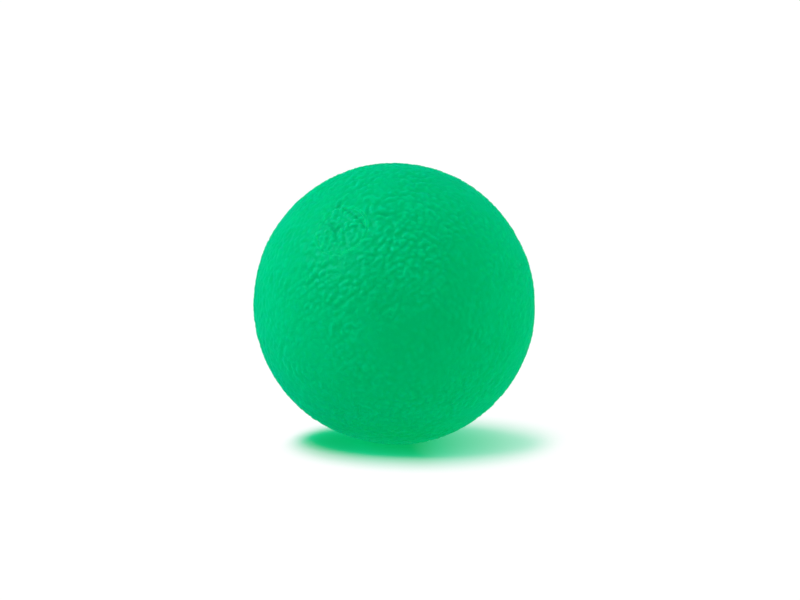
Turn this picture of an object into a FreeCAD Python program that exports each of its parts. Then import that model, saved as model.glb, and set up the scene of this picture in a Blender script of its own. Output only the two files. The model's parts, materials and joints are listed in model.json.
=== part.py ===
import FreeCAD, Part

import math
import os

import Sketcher

# A gel stress ball in millimetres. +Z is up, and the origin is the centre of the small flat patch
# that the ball rests on. The filling port's axis leans from straight up towards the front (-Y).
# A grained outer skin holds a soft gel core. A plug closes the skin's filling port, and a ring of
# bond fills the gap between the plug's cap and the skin. Every piece is turned about the ball's
# upright axis or about the port's axis, and both pass through the ball's centre.

DIMENSIONS = {
    "ball_radius": (25.0, "outside of the skin"),
    "skin_wall": (2.2, "thickness of the skin"),
    "patch_radius": (4.5, "flat patch under the ball, where its own weight presses it flat"),
    "port_tilt": (52.0, "degrees from straight up to the port's axis"),
    "port_radius": (3.0, "bore of the filling port"),
    "seat_radius": (5.0, "round seat for the cap and its bond"),
    "seat_depth": (1.4, "floor of the seat below the ball's surface"),
    "collar_radius": (7.0, "outside of the collar round the port, inside the skin"),
    "collar_depth": (6.0, "inner end of the collar below the ball's surface"),
    "collar_root": (1.8, "outer end of the collar below the ball's surface, within the wall"),
    "cap_radius": (4.5, "cap of the plug"),
    "barb_radius": (4.0, "barb of the plug, which catches behind the collar"),
    "barb_tip_radius": (2.6, "inner end of the barb"),
    "barb_land": (0.8, "straight length of the barb before its taper"),
    "plug_depth": (7.8, "inner end of the plug below the ball's surface"),
    "pit_radius": (0.8, "moulding pit in the middle of the cap"),
    "pit_depth": (0.5, "floor of the moulding pit below the ball's surface"),
    "ring_sink": (0.15, "top of the bond below the ball's surface"),
    "fit_gap": (0.02, "clearance between the plug, its bond and the skin"),
    "core_gap": (0.05, "clearance between the core and what it touches"),
    "cut_margin": (2.0, "how far a cut runs past the surface it opens"),
}

FULL_TURN = 360.0

doc = FreeCAD.newDocument("stress_ball")
sheet = doc.addObject("Spreadsheet::Sheet", "Sizes")
for row, (alias, (number, meaning)) in enumerate(DIMENSIONS.items(), start=1):
    sheet.set(f"A{row}", alias)
    sheet.set(f"B{row}", str(number))
    sheet.set(f"C{row}", meaning)
    sheet.setAlias(f"B{row}", alias)
doc.recompute()


class Size:
    """A length as a number, to draw with, and as the expression that binds it to the sheet."""

    def __init__(self, number, text):
        self.number = number
        self.text = text

    def __add__(self, other):
        return Size(self.number + other.number, f"{self.text} + {other.text}")

    def __sub__(self, other):
        return Size(self.number - other.number, f"{self.text} - ({other.text})")

    def __neg__(self):
        return Size(-self.number, f"-({self.text})")


def named(alias):
    return Size(DIMENSIONS[alias][0], f"Sizes.{alias}")


def height_on_sphere(radius, across):
    """The height on a sphere about the ball's centre, at a distance across from the axis."""
    number = math.sqrt(radius.number**2 - across.number**2)
    return Size(number, f"sqrt(({radius.text}) ^ 2 - ({across.text}) ^ 2)")


ON_AXIS = Size(0.0, "0")
ball = named("ball_radius")
cavity = ball - named("skin_wall")
core_radius = cavity - named("core_gap")
centre_height = height_on_sphere(ball, named("patch_radius"))
seat_floor = ball - named("seat_depth")
collar_end = ball - named("collar_depth")
collar_root = ball - named("collar_root")
plug_end = ball - named("plug_depth")
past_ball = ball + named("cut_margin")


def new_body(label):
    """A body whose own origin is the centre of the ball."""
    body = doc.addObject("PartDesign::Body", label)
    body.Label = label
    body.setExpression("Placement.Base.z", centre_height.text)
    return body


def new_sketch(body, name, role, tilted):
    """A sketch on an upright plane of the body, with its V axis straight up or on the port's axis."""
    plane = next(item for item in body.Origin.OriginFeatures if item.Role == role)
    sketch = body.newObject("Sketcher::SketchObject", name)
    sketch.AttachmentSupport = (plane, [""])
    sketch.MapMode = "FlatFace"
    if tilted:
        out_of_plane = FreeCAD.Vector(0, 0, 1)
        turn = FreeCAD.Rotation(out_of_plane, DIMENSIONS["port_tilt"][0])
        sketch.AttachmentOffset = FreeCAD.Placement(FreeCAD.Vector(), turn)
        sketch.setExpression("AttachmentOffset.Rotation.Angle", "Sizes.port_tilt")
    return sketch


def bind(sketch, kind, places, length):
    """Adds one dimension to the sketch and binds it to the sheet."""
    index = sketch.addConstraint(Sketcher.Constraint(kind, *places, length.number))
    sketch.setExpression(f"Constraints[{index}]", length.text)


def draw_outline(sketch, corners, arcs):
    """Draws a closed outline and binds its size.

    corners holds each corner as (distance from the V axis, height along it). arcs maps a corner's
    place in the list to the radius of the arc, about the ball's centre, that runs from it to the next.
    """
    origin = (-1, 1)
    v_axis = -2
    start_point, end_point, centre_point = 1, 2, 3
    points = [FreeCAD.Vector(across.number, along.number, 0) for across, along in corners]
    edges = []
    for here, point in enumerate(points):
        after = points[(here + 1) % len(points)]
        if here not in arcs:
            edge = sketch.addGeometry(Part.LineSegment(point, after))
            edges.append(((edge, start_point), (edge, end_point)))
            continue
        angle_here = math.atan2(point.y, point.x)
        angle_after = math.atan2(after.y, after.x)
        low, high = sorted((angle_here, angle_after))
        circle = Part.Circle(FreeCAD.Vector(), FreeCAD.Vector(0, 0, 1), arcs[here].number)
        edge = sketch.addGeometry(Part.ArcOfCircle(circle, low, high))
        runs_up = angle_here < angle_after
        ends = ((edge, start_point), (edge, end_point))
        edges.append(ends if runs_up else ends[::-1])
        sketch.addConstraint(Sketcher.Constraint("Coincident", edge, centre_point, *origin))
        bind(sketch, "Radius", (edge,), arcs[here])
    for here, (across, along) in enumerate(corners):
        corner = edges[here][0]
        before = (here - 1) % len(corners)
        sketch.addConstraint(Sketcher.Constraint("Coincident", *edges[before][1], *corner))
        if across is ON_AXIS:
            sketch.addConstraint(Sketcher.Constraint("PointOnObject", *corner, v_axis))
        else:
            bind(sketch, "DistanceX", (*origin, *corner), across)
        if here in arcs or before in arcs:
            continue
        if along.number < 0:
            bind(sketch, "DistanceY", (*corner, *origin), -along)
        else:
            bind(sketch, "DistanceY", (*origin, *corner), along)


def turn_outline(body, kind, name, role, tilted, corners, arcs):
    """Revolves an outline about its V axis, to add to the body (Revolution) or to cut it (Groove)."""
    sketch = new_sketch(body, f"{name}_outline", role, tilted)
    draw_outline(sketch, corners, arcs)
    doc.recompute()
    feature = body.newObject(f"PartDesign::{kind}", name)
    feature.Profile = sketch
    feature.ReferenceAxis = (sketch, ["V_Axis"])
    feature.Angle = FULL_TURN
    doc.recompute()


def make_outer_skin():
    """A hollow ball with a flat resting patch, a collar inside it and a stepped port through both."""
    body = new_body("outer_skin")
    patch_edge = (named("patch_radius"), -centre_height)
    shell = [
        (ON_AXIS, ball),
        patch_edge,
        (ON_AXIS, -centre_height),
        (ON_AXIS, -cavity),
        (ON_AXIS, cavity),
    ]
    turn_outline(body, "Revolution", "shell", "XZ_Plane", False, shell, {0: ball, 3: cavity})
    collar = [
        (ON_AXIS, collar_end),
        (named("collar_radius"), collar_end),
        (named("collar_radius"), collar_root),
        (ON_AXIS, collar_root),
    ]
    turn_outline(body, "Revolution", "collar", "YZ_Plane", True, collar, {})
    solid_volume = body.Shape.Volume
    port_start = collar_end - named("cut_margin")
    port = [
        (ON_AXIS, port_start),
        (named("port_radius"), port_start),
        (named("port_radius"), seat_floor),
        (named("seat_radius"), seat_floor),
        (named("seat_radius"), past_ball),
        (ON_AXIS, past_ball),
    ]
    turn_outline(body, "Groove", "port", "YZ_Plane", True, port, {})
    require_cut(body, solid_volume)
    return body


def make_gel_core():
    """A ball of gel that fills the skin, with a recess for the collar and the plug's barb."""
    body = new_body("gel_core")
    filling = [(ON_AXIS, -core_radius), (ON_AXIS, core_radius)]
    turn_outline(body, "Revolution", "filling", "XZ_Plane", False, filling, {0: core_radius})
    solid_volume = body.Shape.Volume
    gap = named("core_gap")
    recess = [
        (ON_AXIS, plug_end - gap),
        (named("barb_radius") + gap, plug_end - gap),
        (named("barb_radius") + gap, collar_end - gap),
        (named("collar_radius") + gap, collar_end - gap),
        (named("collar_radius") + gap, past_ball),
        (ON_AXIS, past_ball),
    ]
    turn_outline(body, "Groove", "recess", "YZ_Plane", True, recess, {})
    require_cut(body, solid_volume)
    return body


def make_port_plug():
    """A flush domed cap with a moulding pit, a shank down the port, and a barb behind the collar."""
    body = new_body("port_plug")
    fit = named("fit_gap")
    pit_floor = ball - named("pit_depth")
    shank_radius = named("port_radius") - fit
    under_cap = seat_floor + fit
    barb_face = collar_end - fit
    outline = [
        (ON_AXIS, pit_floor),
        (named("pit_radius"), pit_floor),
        (named("pit_radius"), height_on_sphere(ball, named("pit_radius"))),
        (named("cap_radius"), height_on_sphere(ball, named("cap_radius"))),
        (named("cap_radius"), under_cap),
        (shank_radius, under_cap),
        (shank_radius, barb_face),
        (named("barb_radius"), barb_face),
        (named("barb_radius"), barb_face - named("barb_land")),
        (named("barb_tip_radius"), plug_end),
        (ON_AXIS, plug_end),
    ]
    turn_outline(body, "Revolution", "plug", "YZ_Plane", True, outline, {2: ball})
    return body


def make_plug_bond_ring():
    """A ring of bond in the gap round the cap, sunk slightly below the ball's surface."""
    body = new_body("plug_bond_ring")
    fit = named("fit_gap")
    inside = named("cap_radius") + fit
    outside = named("seat_radius") - fit
    floor = seat_floor + fit
    sunk_ball = ball - named("ring_sink")
    outline = [
        (inside, floor),
        (outside, floor),
        (outside, height_on_sphere(sunk_ball, outside)),
        (inside, height_on_sphere(sunk_ball, inside)),
    ]
    turn_outline(body, "Revolution", "bond", "YZ_Plane", True, outline, {2: sunk_ball})
    return body


def require_cut(body, volume_before):
    if not body.Shape.Volume < volume_before:
        raise RuntimeError(f"{body.Label}: the last cut removed nothing")


def check_document(bodies):
    """Stops before anything is written if an object failed or a piece isn't one valid solid."""
    doc.recompute()
    for item in doc.Objects:
        if "Invalid" in item.State or "Error" in item.State:
            raise RuntimeError(f"{item.Name} is {item.State}")
    for body in bodies:
        shape = body.Shape
        if shape.isNull() or not shape.isValid() or len(shape.Solids) != 1:
            raise RuntimeError(f"{body.Label} isn't one valid solid")


pieces = [make_outer_skin(), make_gel_core(), make_port_plug(), make_plug_bond_ring()]
check_document(pieces)
os.makedirs("parts", exist_ok=True)
for piece in pieces:
    piece.Shape.exportStep(f"parts/{piece.Label}.step")
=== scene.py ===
import json
import math

import bmesh
import bpy
import numpy as np
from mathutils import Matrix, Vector
from mathutils.kdtree import KDTree

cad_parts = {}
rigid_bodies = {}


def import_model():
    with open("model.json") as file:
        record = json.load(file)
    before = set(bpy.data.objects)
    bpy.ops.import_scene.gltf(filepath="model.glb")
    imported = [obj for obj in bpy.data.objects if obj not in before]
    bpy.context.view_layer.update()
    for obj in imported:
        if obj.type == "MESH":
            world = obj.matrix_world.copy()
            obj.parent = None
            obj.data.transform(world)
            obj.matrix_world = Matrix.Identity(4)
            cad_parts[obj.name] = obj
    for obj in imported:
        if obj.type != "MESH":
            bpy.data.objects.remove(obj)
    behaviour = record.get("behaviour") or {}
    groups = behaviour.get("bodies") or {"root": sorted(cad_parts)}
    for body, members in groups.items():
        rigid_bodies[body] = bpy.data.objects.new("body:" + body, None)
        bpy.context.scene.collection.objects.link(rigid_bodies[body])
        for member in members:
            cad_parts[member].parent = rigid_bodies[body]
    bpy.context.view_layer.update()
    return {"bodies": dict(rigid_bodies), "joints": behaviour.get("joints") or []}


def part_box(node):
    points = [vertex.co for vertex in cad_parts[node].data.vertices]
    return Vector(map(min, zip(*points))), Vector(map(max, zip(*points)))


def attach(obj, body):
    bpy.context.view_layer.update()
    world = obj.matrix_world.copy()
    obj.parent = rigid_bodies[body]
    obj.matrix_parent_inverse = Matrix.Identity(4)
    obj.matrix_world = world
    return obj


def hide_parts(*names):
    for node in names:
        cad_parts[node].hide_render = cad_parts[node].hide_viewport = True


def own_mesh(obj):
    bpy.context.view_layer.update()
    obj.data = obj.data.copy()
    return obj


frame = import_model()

# A gel stress ball: a leather-grained skin with a closed filling port, and the gel inside it.
# Everything is in metres in the frame's own axes.

MM = 0.001


# ---------------------------------------------------------------------------------------------
# Sizes and places. The ball and the port's direction come from the frame.
# ---------------------------------------------------------------------------------------------
skin_low, skin_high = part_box("outer_skin")
core_low, core_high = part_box("gel_core")
ring_low, ring_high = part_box("plug_bond_ring")

BALL_RADIUS = (skin_high.x - skin_low.x) / 2
BALL_HEIGHT = skin_high.z
BALL_CENTRE = np.array([0.0, 0.0, BALL_HEIGHT - BALL_RADIUS])
CORE_RADIUS = (core_high.x - core_low.x) / 2
SKIN_WALL = 2.2 * MM
CAVITY_RADIUS = BALL_RADIUS - SKIN_WALL

PORT_AXIS = np.array((ring_low + ring_high) / 2) - BALL_CENTRE
PORT_AXIS /= np.linalg.norm(PORT_AXIS)
PORT_SIDE = np.array([1.0, 0.0, 0.0])
PORT_UP = np.cross(PORT_AXIS, PORT_SIDE)

# These radii are measured from the port's axis, and an END or a FLOOR along it from the ball's
# centre. COLLAR_MIDDLE is half-way across the part of the collar's end that the barb leaves free.
# CORE_GAP is the gel's clearance, and ROOT_GAP its clearance at the collar's rounded root.
SEAT_RADIUS = 5.0 * MM
SEAT_FLOOR = BALL_RADIUS - 1.4 * MM
PORT_RADIUS = 3.0 * MM
COLLAR_RADIUS = 7.0 * MM
COLLAR_END = BALL_RADIUS - 6.0 * MM
CAP_RADIUS = 4.5 * MM
BARB_RADIUS = 4.0 * MM
COLLAR_MIDDLE = (BARB_RADIUS + COLLAR_RADIUS) / 2
BARB_TIP_RADIUS = 2.6 * MM
BARB_LAND = 0.8 * MM
PLUG_END = BALL_RADIUS - 7.8 * MM
FIT_GAP = 0.02 * MM
CORE_GAP = 0.05 * MM
ROOT_GAP = 1.5 * CORE_GAP

# Edges: a sharp one is cut by LIP, and a rounded one by FILLET, with its middle point ROUNDING of
# the fillet away from each face. EDGE is the distance from a lip to the next ring of points, which
# keeps the smooth shading of the surface even up to there. RECESS_EDGE and BARB_EDGE cut the
# corners of the gel's recess and of the plug's barb. The grain's height ends SEAT_STEP down the
# seat's wall.
LIP = 0.02 * MM
EDGE = 0.05 * MM
FILLET = 0.25 * MM
ROUNDING = 0.3
RECESS_EDGE = 0.2 * MM
BARB_EDGE = 0.12 * MM
SEAT_STEP = 0.5 * MM

# How finely each piece is divided. A ball starts as a cube, with CELLS along each edge. Its opening
# reaches OPENING_CELLS to each side of the port's axis, so it has eight times as many points round
# it. The rings of cells are circles round the opening, and squares again from CIRCLES_END times
# its size. The rings on the plug's cap are CAP_STEP apart, down to CAP_MIDDLE from its centre.
SKIN_CELLS = 122
SKIN_OPENING_CELLS = 14
CORE_CELLS = 56
CORE_OPENING_CELLS = 11
PLUG_COLUMNS = SKIN_OPENING_CELLS * 8
CAVITY_ROWS = 61
CAP_STEP = 0.22 * MM
CAP_MIDDLE = 0.15 * MM
CIRCLES_END = 2.6

# The camera looks from the front right, slightly from above. VIEW_NEARER is level, and VIEW_BACK
# points at the camera.
CAMERA_AZIMUTH = math.radians(28)
CAMERA_ELEVATION = math.radians(8)
UP = np.array((0.0, 0.0, 1.0))
VIEW_RIGHT = np.array((math.cos(CAMERA_AZIMUTH), math.sin(CAMERA_AZIMUTH), 0.0))
VIEW_NEARER = np.array((math.sin(CAMERA_AZIMUTH), -math.cos(CAMERA_AZIMUTH), 0.0))
VIEW_BACK = VIEW_NEARER * math.cos(CAMERA_ELEVATION) + UP * math.sin(CAMERA_ELEVATION)
VIEW_UP = np.cross(VIEW_BACK, VIEW_RIGHT)


# ---------------------------------------------------------------------------------------------
# Surface relief of the moulded skin, as a height above the plain ball for each direction from
# the ball's centre.
# ---------------------------------------------------------------------------------------------
# Marks round the filling port, in millimetres (side, up) from the port's axis. The crease is an
# arc, and the others are paths. Each DENT is the width and the depth of its mark.
CREASE_CENTRE = (-6.1, -9.7)
CREASE_RADIUS = 15.0
CREASE_SPAN = (math.radians(44), math.radians(76))
CREASE_DENT = (0.30, 0.26)
PUCKER = [(-2.6, 1.05), (-0.9, -0.3), (0.2, 0.65)]
PUCKER_DENT = (0.50, 0.26)
PUCKER_TAIL = [(-0.9, -0.3), (-0.2, -1.6), (0.7, -2.8)]
PUCKER_TAIL_DENT = (0.30, 0.14)
DIMPLE = [(5.9, 4.1), (6.6, 4.4), (7.3, 4.0)]
DIMPLE_DENT = (0.42, 0.20)

# A FADE says where something fades in round a direction: the cosine of the angle from it where it
# starts, and the cosine where it is full.
MARKS_FADE = (0.5, 0.8)

# The leather grain is PEBBLE_SHARE of pebbles and the rest of random waves. The pebbles are domes.
# Their sum is levelled by its mean and its spread, and where it is then above CROWDED, CROWDED_CUT
# of the height above that is cut off.
PEBBLE_PITCH = 1.08 * MM
PEBBLE_RADIUS = 0.38 * MM
PEBBLE_STRAY = 0.22
PEBBLE_SIZE_RANGE = (0.6, 1.4)
PEBBLE_SHARE = 0.80
PEBBLE_SEED = 12
PEBBLE_NEIGHBOURS = 4
DOMES_MEAN = 0.5
DOMES_SPREAD = 0.27
CROWDED = 2
CROWDED_CUT = 0.85
GRAIN_PITCH = 1.3 * MM
GRAIN_DEPTH = 0.051 * MM

# It is GRAIN_NEAR times as strong round GRAIN_TOP, on the upper front, and GRAIN_FAR times as
# strong elsewhere. Its strength also varies in patches.
GRAIN_NEAR = 1.65
GRAIN_FAR = 0.76
GRAIN_TOP = np.array([0.114, -0.747, 0.655])
GRAIN_TOP_FADE = (0.6, 0.93)
PATCH_PITCH = 8.0 * MM
PATCH_STRENGTH = 0.25

# The ball isn't quite round: it waves a little all over, and sags towards its lower right side.
WAVE_PITCH = 21.0 * MM
WAVE_DEPTH = 0.05 * MM
SAG = VIEW_RIGHT * 0.64 - VIEW_UP * 0.77
SAG_FADE = (0.6, 0.9)
SAG_DEPTH = 0.32 * MM


def ripples(points, pitch, spread, count, seed):
    """Random waves of about one pitch, added up to a field of about -2 to 2."""
    random = np.random.default_rng(seed)
    heading = random.normal(size=(count, 3))
    heading /= np.linalg.norm(heading, axis=1)[:, None]
    pitches = pitch * np.exp(spread * random.normal(size=count))
    phase = random.uniform(0, 2 * math.pi, count)
    total = np.zeros(len(points))
    for wave in range(count):
        turns = points @ (heading[wave] * (2 * math.pi / pitches[wave]))
        total += np.cos(turns + phase[wave])
    return total * math.sqrt(2 / count)


def smooth_step(value, low, high):
    share = np.clip((value - low) / (high - low), 0, 1)
    return share * share * (3 - 2 * share)


def distance_to_path(points, path):
    """Distance from each 2-D point to the nearest stretch of a path."""
    nearest = np.full(len(points), np.inf)
    for start, end in zip(path, path[1:]):
        start, run = np.array(start), np.array(end) - np.array(start)
        share = np.clip((points - start) @ run / (run @ run), 0, 1)
        nearest = np.minimum(nearest, np.linalg.norm(points - start - share[:, None] * run, axis=1))
    return nearest


def distance_to_arc(points, centre, radius, span):
    """Distance from each 2-D point to an arc that runs between two angles about its centre."""
    away = points - np.array(centre)
    angle = np.clip(np.arctan2(away[:, 1], away[:, 0]), *span)
    on_arc = np.stack((np.cos(angle), np.sin(angle)), axis=1) * radius
    return np.linalg.norm(away - on_arc, axis=1)


def scatter_pebbles():
    """Even places for the grain's pebbles all over the ball, each a little astray and of its own size.

    The places follow each other down a spiral that turns by the golden angle.
    """
    random = np.random.default_rng(PEBBLE_SEED)
    count = round(4 * math.pi * BALL_RADIUS**2 / (PEBBLE_PITCH**2 * math.sqrt(0.75)))
    along = 1 - (2 * np.arange(count) + 1) / count
    turn = np.arange(count) * (math.pi * (3 - math.sqrt(5)))
    across = np.sqrt(1 - along**2)
    places = np.stack((across * np.cos(turn), across * np.sin(turn), along), axis=1) * BALL_RADIUS
    places += random.normal(size=places.shape) * (PEBBLE_STRAY * PEBBLE_PITCH)
    places *= BALL_RADIUS / np.linalg.norm(places, axis=1)[:, None]
    tree = KDTree(count)
    for number, place in enumerate(places):
        tree.insert(place, number)
    tree.balance()
    return tree, random.uniform(*PEBBLE_SIZE_RANGE, count)


PEBBLE_TREE, PEBBLE_SIZES = scatter_pebbles()


def pebbles(points):
    """Height of the pebbles at each point: about -1.5 in the gaps and 1.5 on the tops.

    Where pebbles crowd together, the height is cut down, so none stands out.
    """
    near = [PEBBLE_TREE.find_n(point, PEBBLE_NEIGHBOURS) for point in points]
    number = np.array([[found[1] for found in row] for row in near])
    distance = np.array([[found[2] for found in row] for row in near])
    domes = PEBBLE_SIZES[number] * np.exp(-((distance / PEBBLE_RADIUS) ** 2))
    height = (domes.sum(axis=1) - DOMES_MEAN) / DOMES_SPREAD
    return height - CROWDED_CUT * np.maximum(height - CROWDED, 0)


def port_marks(directions):
    """Depth of the crease, the pucker and the dimple on the closed port."""
    flat = np.stack((directions @ PORT_SIDE, directions @ PORT_UP), axis=1) * (BALL_RADIUS / MM)
    marks = np.zeros(len(directions))
    for distance, (width, depth) in (
        (distance_to_arc(flat, CREASE_CENTRE, CREASE_RADIUS, CREASE_SPAN), CREASE_DENT),
        (distance_to_path(flat, PUCKER), PUCKER_DENT),
        (distance_to_path(flat, PUCKER_TAIL), PUCKER_TAIL_DENT),
        (distance_to_path(flat, DIMPLE), DIMPLE_DENT),
    ):
        marks += depth * MM * np.exp(-((distance / width) ** 2))
    return marks * smooth_step(directions @ PORT_AXIS, *MARKS_FADE)


def relief(directions):
    """Height of the skin above the plain ball, and the grain's share of it from -1 to 1."""
    points = directions * BALL_RADIUS
    fine = ripples(points, GRAIN_PITCH, spread=0.25, count=120, seed=11)
    grain = PEBBLE_SHARE * pebbles(points) + (1 - PEBBLE_SHARE) * fine
    strength = 1 + PATCH_STRENGTH * ripples(points, PATCH_PITCH, spread=0.3, count=24, seed=15)
    near = smooth_step(directions @ GRAIN_TOP, *GRAIN_TOP_FADE)
    strength *= GRAIN_FAR + (GRAIN_NEAR - GRAIN_FAR) * near
    waves = ripples(points, WAVE_PITCH, spread=0.35, count=20, seed=16)
    height = GRAIN_DEPTH * grain * strength + WAVE_DEPTH * waves
    height += SAG_DEPTH * smooth_step(directions @ SAG, *SAG_FADE)
    return height - port_marks(directions), grain * strength / 2


# ---------------------------------------------------------------------------------------------
# Meshes
# ---------------------------------------------------------------------------------------------
class Shape:
    """The points and faces of one piece while it is built."""

    def __init__(self):
        self.points = []
        self.faces = []

    def add(self, points):
        first = len(self.points)
        self.points.extend(points)
        return list(range(first, len(self.points)))

    def join(self, loop, next_loop):
        """A band of quads between two closed loops of the same length."""
        for here in range(len(loop)):
            after = (here + 1) % len(loop)
            self.faces.append((loop[here], loop[after], next_loop[after], next_loop[here]))

    def close(self, loop, apex):
        """Triangles from a closed loop to one point."""
        for here in range(len(loop)):
            self.faces.append((loop[here], loop[(here + 1) % len(loop)], apex))


def ring_of_points(across, along, count, textured):
    """A ring round the port's axis. A textured ring takes the height of the skin's relief."""
    turn = np.arange(count) * (2 * math.pi / count)
    side, up = np.cos(turn)[:, None] * PORT_SIDE, np.sin(turn)[:, None] * PORT_UP
    local = (side + up) * across + PORT_AXIS * along
    if textured:
        directions = local / np.linalg.norm(local, axis=1)[:, None]
        local = local + directions * relief(directions)[0][:, None]
    return list(BALL_CENTRE + local)


def turn_outline(shape, outline, count, loop=None):
    """Turns (across, along, textured) corners about the port's axis, going on from a loop."""
    for across, along, textured in outline:
        if across == 0:
            apex = shape.add(ring_of_points(0, along, 1, textured))[0]
            if loop is not None:
                shape.close(loop, apex)
                loop = None
            else:
                loop = apex
            continue
        ring = shape.add(ring_of_points(across, along, count, textured))
        if isinstance(loop, int):
            shape.close(ring, loop)
        elif loop is not None:
            shape.join(loop, ring)
        loop = ring
    return loop


def surface_at(across, radius=BALL_RADIUS):
    """How far along the port's axis a sphere about the ball's centre is, at a distance across."""
    return math.sqrt(radius**2 - across**2)


def sphere_corners(radius, polars):
    """Corners of an outline along a sphere about the ball's centre, at angles from the port's axis."""
    return [(radius * math.sin(polar), radius * math.cos(polar), False) for polar in polars]


def cube_lattice(cells):
    """The whole-number points on a cube's surface, from -cells/2 to cells/2, and its quads."""
    half = cells // 2
    steps = np.arange(-half, half + 1)
    first, second = np.meshgrid(steps, steps, indexing="ij")
    sides = []
    for axis in range(3):
        for end in (-half, half):
            side = np.zeros((cells + 1, cells + 1, 3), int)
            side[..., axis] = end
            side[..., (axis + 1) % 3] = first
            side[..., (axis + 2) % 3] = second
            sides.append(side)
    lattice, places = np.unique(np.array(sides).reshape(-1, 3), axis=0, return_inverse=True)
    places = places.reshape(6, cells + 1, cells + 1)
    corners = (places[:, :-1, :-1], places[:, 1:, :-1], places[:, 1:, 1:], places[:, :-1, 1:])
    return lattice, np.stack([corner.reshape(-1) for corner in corners], axis=1)


def ball_with_opening(cells, opening_cells, opening_angle):
    """A ball of even quads with a round opening on the port's axis.

    Returns the directions of its points, its faces and the loop of points round the opening.
    The six sides of a cube are blown up to a ball. Near the opening the square rings of one side
    turn into circles.
    """
    lattice, quads = cube_lattice(cells)
    half = cells // 2
    on_port_side = lattice[:, 2] == half
    square = np.abs(lattice[:, :2]).max(axis=1)
    inside = on_port_side & (square < opening_cells)
    in_opening = (on_port_side & (square <= opening_cells))[quads].all(axis=1)
    quads = quads[~in_opening]

    cube = np.tan(lattice * (math.pi / 4 / half))
    local = cube / np.linalg.norm(cube, axis=1)[:, None]

    # Walk round each square ring, starting on the PORT_SIDE axis.
    a, b = lattice[:, 0], lattice[:, 1]
    walk = np.select(
        [(a == square) & (b > -square), b == square, a == -square, b == -square],
        [b, 2 * square - a, 4 * square - b, 6 * square + a],
    )
    turn = walk / np.maximum(square, 1) * (math.pi / 4)
    polar = opening_angle * square / opening_cells
    circles = np.stack(
        (np.cos(turn) * np.sin(polar), np.sin(turn) * np.sin(polar), np.cos(polar)), axis=1
    )
    share = 1 - smooth_step(square, opening_cells, opening_cells * CIRCLES_END)
    share = np.where(on_port_side, share, 0)[:, None]
    local = local * (1 - share) + circles * share
    local /= np.linalg.norm(local, axis=1)[:, None]

    rim = np.flatnonzero(on_port_side & (square == opening_cells))
    rim = rim[np.argsort(np.mod(turn[rim], 2 * math.pi))]
    kept = np.flatnonzero(~inside)
    new_place = np.full(len(lattice), -1)
    new_place[kept] = np.arange(len(kept))
    directions = local[kept] @ np.array([PORT_SIDE, PORT_UP, PORT_AXIS])
    return directions, new_place[quads], list(new_place[rim])


def finish_piece(name, shape):
    """Makes the Blender object of a shape.

    Each point keeps its rest place, the height of the grain there and the depth of the marks.
    """
    points = np.array(shape.points)
    mesh = bpy.data.meshes.new(name)
    mesh.from_pydata(points.tolist(), [], [tuple(int(i) for i in face) for face in shape.faces])
    work = bmesh.new()
    work.from_mesh(mesh)
    bmesh.ops.recalc_face_normals(work, faces=work.faces)
    work.to_mesh(mesh)
    work.free()
    mesh.shade_smooth()
    away = points - BALL_CENTRE
    directions = away / np.linalg.norm(away, axis=1)[:, None]
    place = mesh.attributes.new("rest_place", "FLOAT_VECTOR", "POINT")
    place.data.foreach_set("vector", points.astype(np.float32).ravel())
    grain = mesh.attributes.new("grain", "FLOAT", "POINT")
    grain.data.foreach_set("value", relief(directions)[1].astype(np.float32))
    marks = mesh.attributes.new("marks", "FLOAT", "POINT")
    marks.data.foreach_set("value", (port_marks(directions) / MM).astype(np.float32))
    piece = bpy.data.objects.new(name, mesh)
    bpy.context.scene.collection.objects.link(piece)
    return piece


def make_outer_skin():
    """The skin, grained outside, with the seat, the port's bore, the collar and the cavity."""
    opening = SEAT_RADIUS + LIP + EDGE
    directions, quads, rim = ball_with_opening(
        SKIN_CELLS, SKIN_OPENING_CELLS, math.asin(opening / BALL_RADIUS)
    )
    height = relief(directions)[0]
    outside = BALL_CENTRE + directions * (BALL_RADIUS + height)[:, None]
    outside[:, 2] = np.maximum(outside[:, 2], 0)
    shape = Shape()
    shape.add(list(outside))
    shape.faces.extend(quads.tolist())

    seat_edge = surface_at(SEAT_RADIUS)
    collar_root = surface_at(COLLAR_RADIUS, CAVITY_RADIUS) - FILLET
    outline = [
        (SEAT_RADIUS + LIP, surface_at(SEAT_RADIUS + LIP), True),
        (SEAT_RADIUS, seat_edge - LIP, True),
        (SEAT_RADIUS, seat_edge - SEAT_STEP, False),
        (SEAT_RADIUS, SEAT_FLOOR, False),
        (PORT_RADIUS + LIP, SEAT_FLOOR, False),
        (PORT_RADIUS, SEAT_FLOOR - LIP, False),
        (PORT_RADIUS, (SEAT_FLOOR + COLLAR_END) / 2, False),
        (PORT_RADIUS, COLLAR_END + LIP, False),
        (PORT_RADIUS + LIP, COLLAR_END, False),
        (BARB_RADIUS - FILLET / 2, COLLAR_END, False),
        (BARB_RADIUS + FILLET, COLLAR_END, False),
        (COLLAR_MIDDLE, COLLAR_END, False),
        (COLLAR_RADIUS - FILLET, COLLAR_END, False),
        (COLLAR_RADIUS - FILLET * ROUNDING, COLLAR_END + FILLET * ROUNDING, False),
        (COLLAR_RADIUS, COLLAR_END + FILLET, False),
        (COLLAR_RADIUS, (COLLAR_END + collar_root) / 2, False),
        (COLLAR_RADIUS, collar_root, False),
    ]
    start = math.asin((COLLAR_RADIUS + FILLET) / CAVITY_RADIUS)
    outline += sphere_corners(CAVITY_RADIUS, np.linspace(start, math.pi, CAVITY_ROWS + 1)[:-1])
    outline.append((0, -CAVITY_RADIUS, False))
    turn_outline(shape, outline, len(rim), rim)
    return finish_piece("grained_skin", shape)


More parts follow.
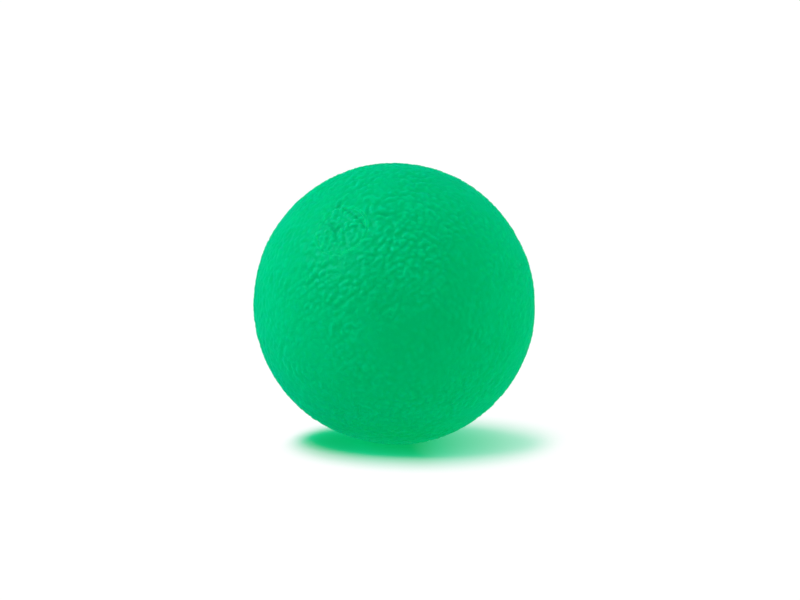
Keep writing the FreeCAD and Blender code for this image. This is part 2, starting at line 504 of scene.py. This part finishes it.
def make_gel_core():
    """The gel, with the recess that the collar and the plug's barb fill."""
    opening = COLLAR_RADIUS + FILLET + ROOT_GAP
    directions, quads, rim = ball_with_opening(
        CORE_CELLS, CORE_OPENING_CELLS, math.asin(opening / CORE_RADIUS)
    )
    shape = Shape()
    shape.add(list(BALL_CENTRE + directions * CORE_RADIUS))
    shape.faces.extend(quads.tolist())
    collar = COLLAR_RADIUS + CORE_GAP
    barb = BARB_RADIUS + CORE_GAP
    floor = COLLAR_END - CORE_GAP
    tip = PLUG_END - CORE_GAP
    root = surface_at(opening, CORE_RADIUS) - FILLET + CORE_GAP
    outline = [
        (collar, root, False),
        (collar, (root + floor) / 2, False),
        (collar, floor + FILLET, False),
        (collar - FILLET * ROUNDING, floor + FILLET * ROUNDING, False),
        (collar - FILLET, floor, False),
        (COLLAR_MIDDLE, floor, False),
        (barb + RECESS_EDGE, floor, False),
        (barb, floor - RECESS_EDGE, False),
        (barb, tip + RECESS_EDGE, False),
        (barb - RECESS_EDGE, tip, False),
        (barb / 2, tip, False),
        (0, tip, False),
    ]
    turn_outline(shape, outline, len(rim), rim)
    return finish_piece("gel_filling", shape)


def make_port_plug():
    """The plug: a grained flush cap with its pucker, the shank and the barb."""
    shank = PORT_RADIUS - FIT_GAP
    under_cap = SEAT_FLOOR + FIT_GAP
    barb_face = COLLAR_END - FIT_GAP
    cap_edge = surface_at(CAP_RADIUS)
    outline = [
        (0, PLUG_END, False),
        (BARB_TIP_RADIUS - BARB_EDGE, PLUG_END, False),
        (BARB_TIP_RADIUS, PLUG_END + BARB_EDGE, False),
        (BARB_RADIUS, barb_face - BARB_LAND, False),
        (BARB_RADIUS, barb_face - BARB_EDGE, False),
        (BARB_RADIUS - FILLET / 2, barb_face, False),
        (shank, barb_face, False),
        (shank, (barb_face + under_cap) / 2, False),
        (shank, under_cap, False),
        (CAP_RADIUS, under_cap, False),
        (CAP_RADIUS, (under_cap + cap_edge) / 2, False),
        (CAP_RADIUS, cap_edge - LIP, True),
        (CAP_RADIUS - LIP, surface_at(CAP_RADIUS - LIP), True),
    ]
    for across in np.arange(CAP_RADIUS - LIP - EDGE, CAP_MIDDLE, -CAP_STEP):
        outline.append((across, surface_at(across), True))
    outline.append((0, BALL_RADIUS, True))
    shape = Shape()
    turn_outline(shape, outline, PLUG_COLUMNS)
    return finish_piece("filling_plug", shape)


def make_bond_ring():
    """The bond between the cap and the seat, flush with both."""
    inner = CAP_RADIUS + FIT_GAP
    outer = SEAT_RADIUS - FIT_GAP
    floor = SEAT_FLOOR + FIT_GAP
    middle = (inner + outer) / 2
    outline = [
        (inner, floor, False),
        (outer, floor, False),
        (outer, (floor + surface_at(outer)) / 2, False),
        (outer, surface_at(outer) - LIP, True),
    ]
    for across in (outer - LIP, outer - LIP - EDGE, middle, inner + LIP + EDGE, inner + LIP):
        outline.append((across, surface_at(across), True))
    outline.append((inner, surface_at(inner) - LIP, True))
    outline.append((inner, (floor + surface_at(inner)) / 2, False))
    shape = Shape()
    last = turn_outline(shape, outline, PLUG_COLUMNS)
    shape.join(last, list(range(PLUG_COLUMNS)))
    return finish_piece("fused_bond", shape)


# ---------------------------------------------------------------------------------------------
# The squeeze: as the core's joint moves, every piece is pressed flatter and bulges at its waist.
# ---------------------------------------------------------------------------------------------
SQUEEZE_TRAVEL = next(j for j in frame["joints"] if j["name"] == "squeeze")["range_m"][1]

# Fully pressed, the ball keeps PRESSED_KEEP of its height, and its waist is PRESSED_SPREAD times
# as wide. Its outline is a circle for ROUND_POWER, and a rounded box for PRESSED_POWER. LEAST_REACH
# keeps a point at the ball's centre from a division by zero.
PRESSED_KEEP = 1 - 2 * SQUEEZE_TRAVEL / BALL_HEIGHT
PRESSED_SPREAD = 1.089
ROUND_POWER = 2.0
PRESSED_POWER = 3.0
LEAST_REACH = 1e-6


def make_press_group(body):
    """A node group that presses the ball flat by the squeeze joint's share of its travel.

    It starts from each point's rest place. The outline goes from a circle to a rounder box of the
    same volume, the resting side stays on the floor, and what the body itself moves is taken off.
    """
    group = bpy.data.node_groups.new(f"press_{body}", "GeometryNodeTree")
    group.interface.new_socket("Geometry", in_out="INPUT", socket_type="NodeSocketGeometry")
    group.interface.new_socket("Geometry", in_out="OUTPUT", socket_type="NodeSocketGeometry")
    nodes, links = group.nodes, group.links

    def maths(operation, *values):
        node = nodes.new("ShaderNodeMath")
        node.operation = operation
        for socket, value in zip(node.inputs, values):
            if isinstance(value, (int, float)):
                socket.default_value = value
            else:
                links.new(value, socket)
        return node.outputs[0]

    def blend_to(rest, pressed):
        return maths("MULTIPLY_ADD", share, pressed - rest, rest)

    def place_of(empty):
        node = nodes.new("GeometryNodeObjectInfo")
        node.inputs["Object"].default_value = empty
        return node.outputs["Location"]

    core_place = nodes.new("ShaderNodeSeparateXYZ")
    links.new(place_of(frame["bodies"]["core"]), core_place.inputs[0])
    share = maths("DIVIDE", core_place.outputs["Z"], -SQUEEZE_TRAVEL)

    rest = nodes.new("GeometryNodeInputNamedAttribute")
    rest.data_type = "FLOAT_VECTOR"
    rest.inputs["Name"].default_value = "rest_place"
    from_centre = nodes.new("ShaderNodeVectorMath")
    from_centre.operation = "SUBTRACT"
    links.new(rest.outputs[0], from_centre.inputs[0])
    from_centre.inputs[1].default_value = BALL_CENTRE
    local = nodes.new("ShaderNodeSeparateXYZ")
    links.new(from_centre.outputs[0], local.inputs[0])
    x, y, z = local.outputs

    # A point on the round outline moves straight out, by swell, to the boxy one.
    across = maths("SQRT", maths("ADD", maths("MULTIPLY", x, x), maths("MULTIPLY", y, y)))
    across = maths("DIVIDE", across, BALL_RADIUS)
    upward = maths("DIVIDE", maths("ABSOLUTE", z), BALL_RADIUS)
    round_reach = maths("ADD", maths("MULTIPLY", across, across), maths("MULTIPLY", upward, upward))
    round_reach = maths("SQRT", round_reach)
    power = blend_to(ROUND_POWER, PRESSED_POWER)
    boxy = maths("ADD", maths("POWER", across, power), maths("POWER", upward, power))
    boxy_reach = maths("POWER", boxy, maths("DIVIDE", 1.0, power))
    swell = maths("DIVIDE", round_reach, maths("MAXIMUM", boxy_reach, LEAST_REACH))

    wide = maths("MULTIPLY", blend_to(1.0, PRESSED_SPREAD), swell)
    keep = blend_to(1.0, PRESSED_KEEP)
    high = maths("MULTIPLY", keep, maths("MULTIPLY_ADD", z, swell, float(BALL_CENTRE[2])))
    pressed = nodes.new("ShaderNodeCombineXYZ")
    links.new(maths("MULTIPLY", x, wide), pressed.inputs[0])
    links.new(maths("MULTIPLY", y, wide), pressed.inputs[1])
    links.new(maths("MAXIMUM", high, 0.0), pressed.inputs[2])

    in_body = nodes.new("ShaderNodeVectorMath")
    in_body.operation = "SUBTRACT"
    links.new(pressed.outputs[0], in_body.inputs[0])
    links.new(place_of(frame["bodies"][body]), in_body.inputs[1])
    move = nodes.new("GeometryNodeSetPosition")
    start, end = nodes.new("NodeGroupInput"), nodes.new("NodeGroupOutput")
    links.new(start.outputs[0], move.inputs["Geometry"])
    links.new(in_body.outputs[0], move.inputs["Position"])
    links.new(move.outputs[0], end.inputs[0])
    return group


def press(piece, body):
    """Presses a piece that rides on a body."""
    piece.modifiers.new("press", "NODES").node_group = make_press_group(body)


# ---------------------------------------------------------------------------------------------
# Materials
# ---------------------------------------------------------------------------------------------
# The green goes from SKIN_DEEP to SKIN_BRIGHT in soft clouds. Between the pebbles it is painted
# darker, towards the valley colour, as painted shade in the grain's valleys. HIGHLIGHT tints the
# gloss and the sheen.
HIGHLIGHT = (0.0, 1.0, 0.73)
SKIN_DEEP = (0.0, 0.50, 0.163)
SKIN_BRIGHT = (0.0, 0.555, 0.203)
SKIN_VALLEY_SHADE = (0.0, 0.475, 0.15)
SKIN_CLOUD_PITCH = 14 * MM
SKIN_GLOSS_PITCH = 3 * MM
SKIN_ROUGHNESS = (0.32, 0.40)
PORE_PITCH = 0.42 * MM
PORE_DEPTH = 0.07 * MM
GEL_CLOUD_PITCH = 9 * MM
GEL_GLOSS_PITCH = 4 * MM
GEL_ROUGHNESS = (0.12, 0.30)
GEL_BUMP_PITCH = 2.5 * MM
GEL_BUMP_DEPTH = 0.03 * MM

# The marks are painted darker, as painted shade in their dents. This painted shade comes in between
# MARK_SHADE_DEPTHS, in millimetres.
MARK_SHADE = (0.0, 0.39, 0.12)
MARK_SHADE_DEPTHS = (0.05, 0.30)

# Painted bounce light: near the floor the gel is painted the deeper green of its own shadow, standing
# in for the green light that the shadow throws back onto it.
FLOOR_SHADE = (0.0, 0.50, 0.105)
FLOOR_SHADE_HEIGHT = 7.0 * MM

# Nearly all of a noise texture's output lies in this range.
NOISE_RANGE = (0.3, 0.7)


class Recipe:
    """A node material, built up call by call."""

    def __init__(self, name):
        self.material = bpy.data.materials.new(name)
        self.material.use_nodes = True
        self.nodes = self.material.node_tree.nodes
        self.links = self.material.node_tree.links
        self.surface = self.nodes["Principled BSDF"]

    def feed(self, socket, value):
        """Links an output to a socket, or sets the socket. A colour is opaque."""
        if isinstance(value, bpy.types.NodeSocket):
            self.links.new(value, socket)
        elif socket.type == "RGBA":
            socket.default_value = (*value, 1)
        else:
            socket.default_value = value

    def set(self, **values):
        for name, value in values.items():
            self.feed(self.surface.inputs[name.replace("_", " ")], value)

    def attribute(self, name, output):
        node = self.nodes.new("ShaderNodeAttribute")
        node.attribute_name = name
        return node.outputs[output]

    def height(self):
        """Height of the rest place above the floor."""
        node = self.nodes.new("ShaderNodeSeparateXYZ")
        self.feed(node.inputs[0], self.attribute("rest_place", "Vector"))
        return node.outputs["Z"]

    def noise(self, pitch, detail, distortion=0.0):
        """Noise that stays on the surface as it is pressed. pitch is the size of its blotches."""
        node = self.nodes.new("ShaderNodeTexNoise")
        self.feed(node.inputs["Vector"], self.attribute("rest_place", "Vector"))
        node.inputs["Scale"].default_value = 1 / pitch
        node.inputs["Detail"].default_value = detail
        node.inputs["Distortion"].default_value = distortion
        return node.outputs["Fac"]

    def scale(self, value, low, high, to_low=0.0, to_high=1.0):
        """Maps low to to_low and high to to_high, and stays between them."""
        node = self.nodes.new("ShaderNodeMapRange")
        self.feed(node.inputs["Value"], value)
        for socket, number in zip(node.inputs[1:5], (low, high, to_low, to_high)):
            self.feed(socket, number)
        return node.outputs["Result"]

    def mix(self, share, first, second):
        node = self.nodes.new("ShaderNodeMix")
        node.data_type = "RGBA"
        self.feed(node.inputs["Factor"], share)
        colours = [socket for socket in node.inputs if socket.type == "RGBA"]
        self.feed(colours[0], first)
        self.feed(colours[1], second)
        return next(socket for socket in node.outputs if socket.type == "RGBA")

    def bump(self, height, depth, strength=1.0):
        node = self.nodes.new("ShaderNodeBump")
        self.feed(node.inputs["Height"], height)
        node.inputs["Distance"].default_value = depth
        node.inputs["Strength"].default_value = strength
        self.feed(self.surface.inputs["Normal"], node.outputs["Normal"])


def make_rubber(name, gloss):
    """The green rubber, with a surface that is smoother by gloss."""
    recipe = Recipe(name)
    cloud = recipe.scale(recipe.noise(SKIN_CLOUD_PITCH, 3.0), *NOISE_RANGE)
    ridge = recipe.scale(recipe.attribute("grain", "Fac"), -1.0, 1.0)
    dent = recipe.scale(recipe.attribute("marks", "Fac"), *MARK_SHADE_DEPTHS)
    low = recipe.scale(recipe.height(), 0.0, FLOOR_SHADE_HEIGHT, 1.0, 0.0)
    body = recipe.mix(cloud, SKIN_DEEP, SKIN_BRIGHT)
    # Painted shade: the grain's valleys are painted darker, towards the valley colour.
    grain_shaded = recipe.mix(ridge, SKIN_VALLEY_SHADE, body)
    # Painted shade in the marks' dents.
    mark_shaded = recipe.mix(dent, grain_shaded, MARK_SHADE)
    smooth, rough = SKIN_ROUGHNESS
    uneven = recipe.noise(SKIN_GLOSS_PITCH, 2.0)
    recipe.set(
        # Painted bounce light: towards the floor the colour turns to the green thrown back by the
        # shadow.
        Base_Color=recipe.mix(low, mark_shaded, FLOOR_SHADE),
        Roughness=recipe.scale(uneven, *NOISE_RANGE, smooth - gloss, rough - gloss),
        IOR=1.5,
        Specular_Tint=HIGHLIGHT,
        Subsurface_Weight=1.0,
        Subsurface_Radius=(0.15, 1.0, 0.6),
        Subsurface_Scale=0.25 * MM,
        Sheen_Weight=0.15,
        Sheen_Roughness=0.4,
        Sheen_Tint=HIGHLIGHT,
    )
    recipe.bump(recipe.noise(PORE_PITCH, 1.0), PORE_DEPTH)
    return recipe.material


def make_soft_gel():
    """The softer, glossier gel, which scatters the light deeper."""
    recipe = Recipe("soft_gel")
    cloud = recipe.scale(recipe.noise(GEL_CLOUD_PITCH, 4.0, distortion=0.6), *NOISE_RANGE)
    uneven = recipe.noise(GEL_GLOSS_PITCH, 2.0)
    recipe.set(
        Base_Color=recipe.mix(cloud, SKIN_DEEP, SKIN_BRIGHT),
        Roughness=recipe.scale(uneven, *NOISE_RANGE, *GEL_ROUGHNESS),
        IOR=1.45,
        Specular_Tint=HIGHLIGHT,
        Subsurface_Weight=1.0,
        Subsurface_Radius=(0.2, 1.0, 0.6),
        Subsurface_Scale=2.0 * MM,
    )
    recipe.bump(recipe.noise(GEL_BUMP_PITCH, 2.0), GEL_BUMP_DEPTH, strength=0.5)
    return recipe.material


# ---------------------------------------------------------------------------------------------
# Stage: a plain white floor, soft lamps and the camera
# ---------------------------------------------------------------------------------------------
# The lens and the sensor are in millimetres, and the shift is a share of the picture's width.
CAMERA_LENS = 135.0
CAMERA_DISTANCE = 0.5358
CAMERA_SHIFT = (0.00775, 0.00425)
CAMERA_NEAREST = CAMERA_DISTANCE * 0.01
SENSOR_WIDTH = 36.0
FLOOR_SIZE = 12.0
FLOOR_ALBEDO = 0.9

# The ball lets green light through to the floor, more of it towards its right side. Each stop is
# (share of the way from left to right, colour). The width and the depth are shares of the gel's.
FILTER_STOPS = (
    (0.0, (0.0, 0.20, 0.02)),
    (0.15, (0.00002, 0.29, 0.035)),
    (0.35, (0.0003, 0.42, 0.097)),
    (0.55, (0.001, 0.42, 0.100)),
    (0.65, (0.036, 0.555, 0.224)),
    (0.75, (0.100, 0.613, 0.312)),
    (0.90, (0.19, 0.665, 0.395)),
)
FILTER_WIDTH = 0.993
FILTER_DEPTH = 0.94
FILTER_ROWS = 48
FILTER_COLUMNS = 96
WHITE = (1, 1, 1)

# The lamps on the ball: direction as (right, up, to the camera), strength, blue against green,
# width in degrees, and whether the gloss reflects it.
BALL_SUNS = (
    ("sky", (0, 1, 0), 0.58, 1.4, 180, False),
    ("front", (0.1, -0.2, 1), 1.34, 0.95, 180, False),
    ("left", (-1, 0.4, 0), 0.32, 1.8, 180, False),
    ("back", (0, 0.5, -1), 2.7, 1.05, 180, False),
    ("key", (-0.65, 0.67, 0.37), 0.6, 1.35, 20, True),
    ("left_rim", (-1, 0.2, -0.4), 1.86, 1.28, 90, False),
    ("right_rim", (1, -0.2, -0.4), 0.42, 0.94, 90, False),
    ("right_edge", (1, -0.2, -1), 1.7, 0.98, 60, False),
    ("low", (0.3, -0.7, 0.7), 1.42, 0.86, 120, False),
)

# The lean of each floor lamp as (to the left, towards the camera) for each step up.
FLOOR_SUN_LEANS = ((0.18, -0.29), (0.22, -0.10), (0.26, 0.10))
FLOOR_SUN_WIDTH = 13
FLOOR_SUN_STRENGTH = 1.25


def make_floor():
    """A plain white floor. It throws no light, no reflection and no shadow on the ball."""
    mesh = bpy.data.meshes.new("floor")
    half = FLOOR_SIZE / 2
    corners = [(-half, -half, 0), (half, -half, 0), (half, half, 0), (-half, half, 0)]
    mesh.from_pydata(corners, [], [(0, 1, 2, 3)])
    recipe = Recipe("floor_white")
    recipe.set(Base_Color=[FLOOR_ALBEDO] * 3, Roughness=1.0, Specular_IOR_Level=0.0)
    mesh.materials.append(recipe.material)
    floor = bpy.data.objects.new("floor", mesh)
    bpy.context.scene.collection.objects.link(floor)
    floor.visible_shadow = False
    floor.visible_glossy = False
    floor.visible_diffuse = False
    return floor


def make_filter_material():
    """Clear, with the filter's colour taken off the light once, where it enters."""
    recipe = Recipe("light_filter")
    nodes, links = recipe.nodes, recipe.links
    ramp = nodes.new("ShaderNodeValToRGB")
    stops = ramp.color_ramp.elements
    while len(stops) < len(FILTER_STOPS):
        stops.new(0.5)
    for stop, (place, colour) in zip(stops, FILTER_STOPS):
        stop.position = place
        stop.color = (*colour, 1)
    place = nodes.new("ShaderNodeTexCoord")
    across = nodes.new("ShaderNodeSeparateXYZ")
    links.new(place.outputs["Object"], across.inputs[0])
    links.new(recipe.scale(across.outputs["X"], -CORE_RADIUS, CORE_RADIUS), ramp.inputs["Fac"])
    # Light that crosses near the edge goes through less gel, so more of it comes out.
    facing = nodes.new("ShaderNodeLayerWeight")
    depth = nodes.new("ShaderNodeMath")
    depth.operation = "SUBTRACT"
    depth.inputs[0].default_value = 1.0
    links.new(facing.outputs["Facing"], depth.inputs[1])
    crossed = nodes.new("ShaderNodeGamma")
    links.new(ramp.outputs["Color"], crossed.inputs["Color"])
    links.new(depth.outputs[0], crossed.inputs["Gamma"])
    leaving = nodes.new("ShaderNodeNewGeometry").outputs["Backfacing"]
    clear = nodes.new("ShaderNodeBsdfTransparent")
    links.new(recipe.mix(leaving, crossed.outputs["Color"], WHITE), clear.inputs["Color"])
    links.new(clear.outputs[0], nodes["Material Output"].inputs["Surface"])
    return recipe.material


def make_light_filter():
    """A green ball-shaped filter, seen only by the floor lamps' light.

    It stands for the light that the translucent ball lets through, so the ball's shadow is green.
    """
    polars = np.linspace(math.pi, 0, FILTER_ROWS + 1)[1:-1]
    outline = [(0, -CORE_RADIUS, False)]
    outline += sphere_corners(CORE_RADIUS, polars)
    outline.append((0, CORE_RADIUS, False))
    shape = Shape()
    turn_outline(shape, outline, FILTER_COLUMNS)
    light_filter = finish_piece("light_filter", shape)
    light_filter.data.materials.append(make_filter_material())
    press(light_filter, "root")
    light_filter.rotation_euler.z = CAMERA_AZIMUTH
    light_filter.scale = (FILTER_WIDTH, FILTER_DEPTH, 1.0)
    # Only a lamp's shadow rays meet it.
    for kind in ("camera", "diffuse", "glossy", "transmission", "volume_scatter"):
        setattr(light_filter, f"visible_{kind}", False)
    return light_filter


def make_group(name, objects):
    group = bpy.data.collections.new(name)
    for item in objects:
        group.objects.link(item)
    return group


def from_view(right, up, back):
    """A direction given as (right, up, towards the camera) as the camera sees it."""
    return VIEW_RIGHT * right + VIEW_UP * up + VIEW_BACK * back


def add_sun(name, aim, strength, width, receivers, blockers):
    """Distant light, width degrees across, shining from a direction."""
    data = bpy.data.lights.new(name, "SUN")
    data.energy = strength
    data.angle = math.radians(width)
    lamp = bpy.data.objects.new(name, data)
    bpy.context.scene.collection.objects.link(lamp)
    lamp.rotation_mode = "QUATERNION"
    lamp.rotation_quaternion = Vector(aim).to_track_quat("Z", "Y")
    lamp.light_linking.receiver_collection = receivers
    lamp.light_linking.blocker_collection = blockers
    return lamp


def light_ball(pieces, blockers):
    """Lights only the ball. The energy makes up for the colour, so green keeps the lamp's strength."""
    for name, direction, strength, blue, width, shiny in BALL_SUNS:
        lamp = add_sun(name, from_view(*direction), strength, width, pieces, blockers)
        brightest = max(blue, 1)
        lamp.data.color = (1 / brightest, 1 / brightest, blue / brightest)
        lamp.data.energy *= brightest
        lamp.visible_glossy = shiny


def light_floor(floor, blockers):
    """Lights only the floor, through the blockers."""
    for number, (left, nearer) in enumerate(FLOOR_SUN_LEANS):
        aim = UP - VIEW_RIGHT * left + VIEW_NEARER * nearer
        add_sun(f"floor_sun_{number}", aim, FLOOR_SUN_STRENGTH, FLOOR_SUN_WIDTH, floor, blockers)


def make_world():
    """White to the camera, and dark to everything else: the lamps do the lighting."""
    world = bpy.data.worlds.new("studio")
    bpy.context.scene.world = world
    world.use_nodes = True
    nodes, links = world.node_tree.nodes, world.node_tree.links
    background = nodes["Background"]
    background.inputs["Color"].default_value = (*WHITE, 1)
    seen = nodes.new("ShaderNodeLightPath")
    links.new(seen.outputs["Is Camera Ray"], background.inputs["Strength"])


def make_camera():
    data = bpy.data.cameras.new("camera")
    data.lens = CAMERA_LENS
    data.sensor_width = SENSOR_WIDTH
    data.shift_x, data.shift_y = CAMERA_SHIFT
    data.clip_start = CAMERA_NEAREST
    data.clip_end = FLOOR_SIZE
    camera = bpy.data.objects.new("camera", data)
    bpy.context.scene.collection.objects.link(camera)
    back = Vector(VIEW_BACK)
    camera.location = Vector(BALL_CENTRE) + back * CAMERA_DISTANCE
    camera.rotation_mode = "QUATERNION"
    camera.rotation_quaternion = back.to_track_quat("Z", "Y")
    bpy.context.scene.camera = camera


# ---------------------------------------------------------------------------------------------
# The ball
# ---------------------------------------------------------------------------------------------
skin, gel = make_outer_skin(), make_gel_core()
plug, bond = make_port_plug(), make_bond_ring()
skin_rubber, plug_rubber = make_rubber("skin_rubber", 0.0), make_rubber("plug_rubber", 0.01)
bond_rubber, soft_gel = make_rubber("bond_rubber", 0.03), make_soft_gel()
port_centre = BALL_CENTRE + PORT_AXIS * BALL_RADIUS
ball_middle = (0, 0, BALL_HEIGHT / 2)

for piece, node, body, joint, anchor, material, slot in (
    (skin, "outer_skin", "root", "squeeze", (0, 0, 0), skin_rubber, "skin_rubber"),
    (gel, "gel_core", "core", "squeeze", ball_middle, soft_gel, "soft_gel"),
    (plug, "port_plug", "plug", "plug_ride", port_centre, plug_rubber, "plug_rubber"),
    (bond, "plug_bond_ring", "plug", "plug_ride", port_centre, bond_rubber, "bond"),
):
    piece.data.materials.append(material)
    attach(piece, body)
    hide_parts(node)
    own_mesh(piece)
    press(piece, body)
    # The light filter casts the ball's shadow, and the floor picks up no light from the ball.
    piece.visible_shadow = False
    piece.visible_diffuse = False

# ---------------------------------------------------------------------------------------------
# The stage round it. The ball's lamps cast no shadow, because the only thing that could block
# them is the floor, which is set to cast none.
# ---------------------------------------------------------------------------------------------
floor = make_floor()
light_filter = make_light_filter()
make_world()
ball_pieces = make_group("ball_pieces", (skin, gel, plug, bond))
floor_only = make_group("floor_only", (floor,))
filter_only = make_group("filter_only", (light_filter,))
light_ball(ball_pieces, blockers=floor_only)
light_floor(floor_only, blockers=filter_only)
make_camera()
bpy.context.scene.view_settings.view_transform = "Standard"
